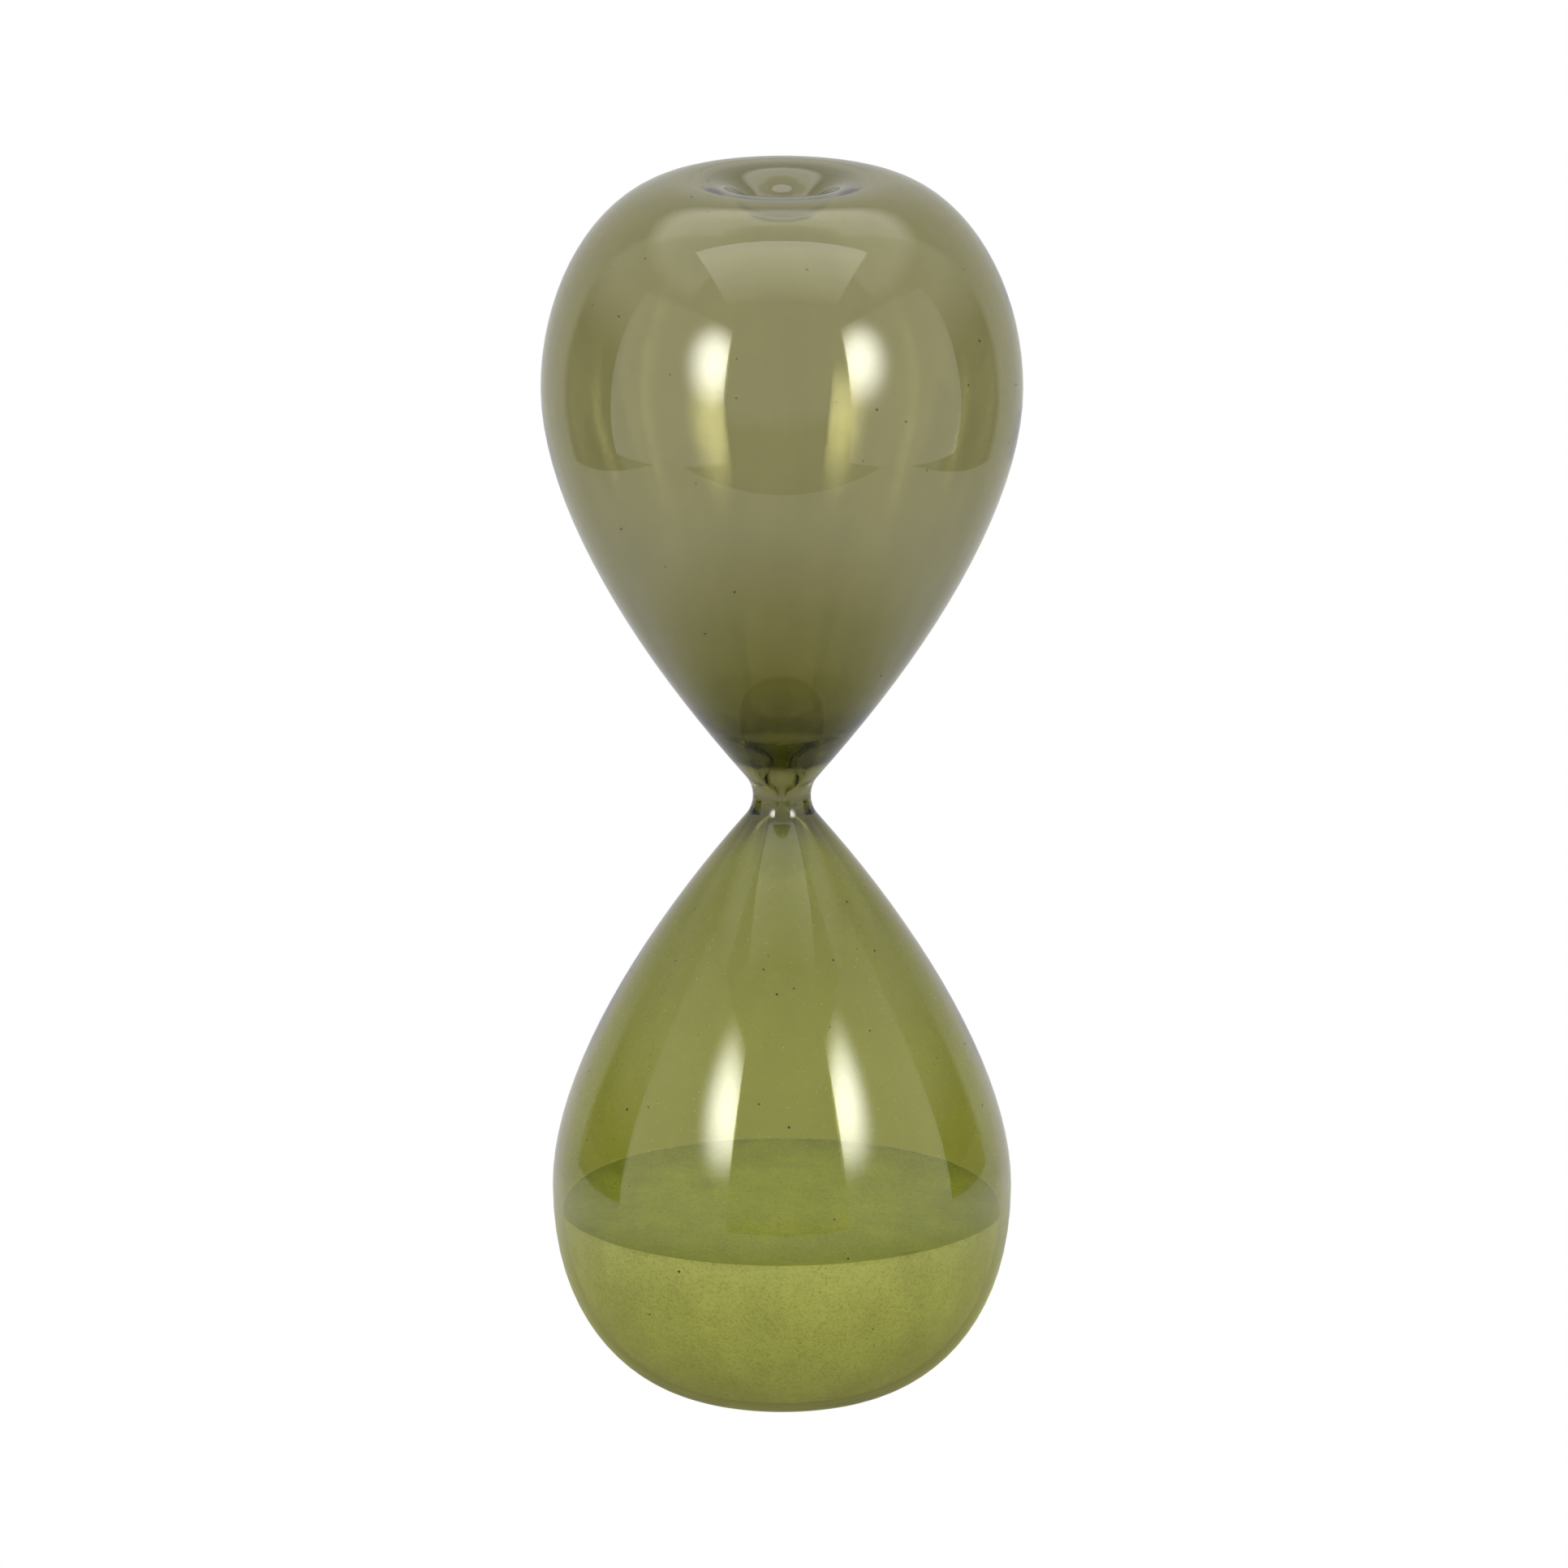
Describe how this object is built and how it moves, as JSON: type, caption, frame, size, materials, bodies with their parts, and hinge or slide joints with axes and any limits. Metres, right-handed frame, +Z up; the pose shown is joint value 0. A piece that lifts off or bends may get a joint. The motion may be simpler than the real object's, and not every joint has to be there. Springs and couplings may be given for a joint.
{
  "type": "hourglass",
  "caption": "Frameless sandglass: bulbs of smoky olive blown glass joined by a narrow solid neck, with hollowed ends to stand on and pale sand resting in the lower bulb.",
  "frame": {"origin": "on the axis, in the plane of the lower bulb's rest ring, which is the surface the glass stands on", "axes": "+Z up along the axis from the lower bulb to the upper bulb; the solids are round about Z, so +X and +Y are free"},
  "size_m": [0.1154, 0.1154, 0.3],
  "materials": {
    "smoky_olive_glass": "gloss",
    "pale_sand": "matte"
  },
  "bodies": {
    "glass": {"lower_bulb": "smoky_olive_glass", "neck": "smoky_olive_glass", "upper_bulb": "smoky_olive_glass", "lower_end_seal": "smoky_olive_glass", "upper_end_seal": "smoky_olive_glass"},
    "sand": {"sand": "pale_sand"}
  },
  "joints": [
    {"name": "sand_shift", "type": "slide", "parent": "glass", "child": "sand", "axis": [0, 0, 1], "range_m": [0, 0.008]}
  ]
}
